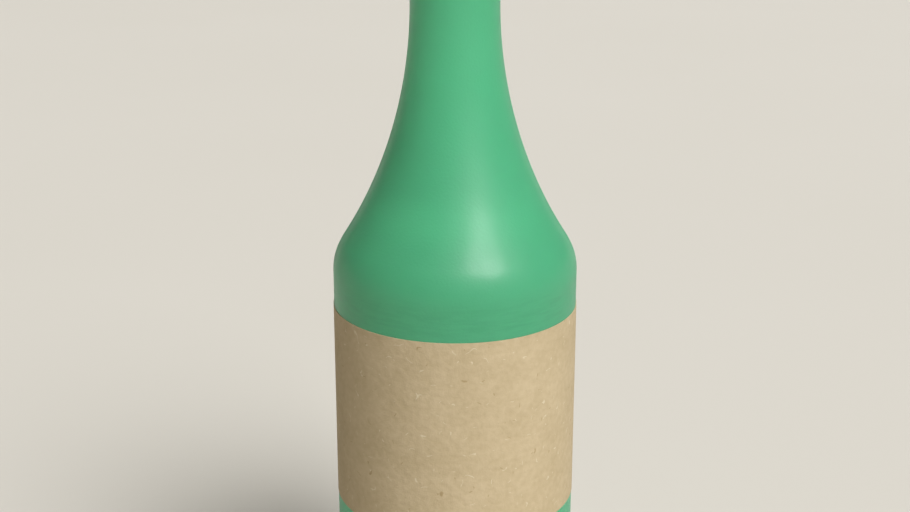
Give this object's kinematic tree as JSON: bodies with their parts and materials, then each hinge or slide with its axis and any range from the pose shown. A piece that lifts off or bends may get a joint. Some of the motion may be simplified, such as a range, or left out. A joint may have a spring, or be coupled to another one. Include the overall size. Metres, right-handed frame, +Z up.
{
  "type": "wine bottle",
  "caption": "Full, corked wine bottle of satin sea-green glass with a long sloping shoulder and a plain cream wrap-round label.",
  "frame": {"origin": "centre of the bearing ring, on the surface that the bottle stands on", "axes": "+Z up the bottle's axis, towards the mouth; -Y towards the front; +Y towards the label's lap; +X to the right seen from the front"},
  "size_m": [0.0819, 0.082, 0.296],
  "materials": {
    "satin_glass": "satin",
    "label_paper": "matte",
    "natural_cork": "matte"
  },
  "bodies": {
    "root": {"bottle": "satin_glass", "label": "label_paper", "cork": "natural_cork"}
  },
  "joints": []
}
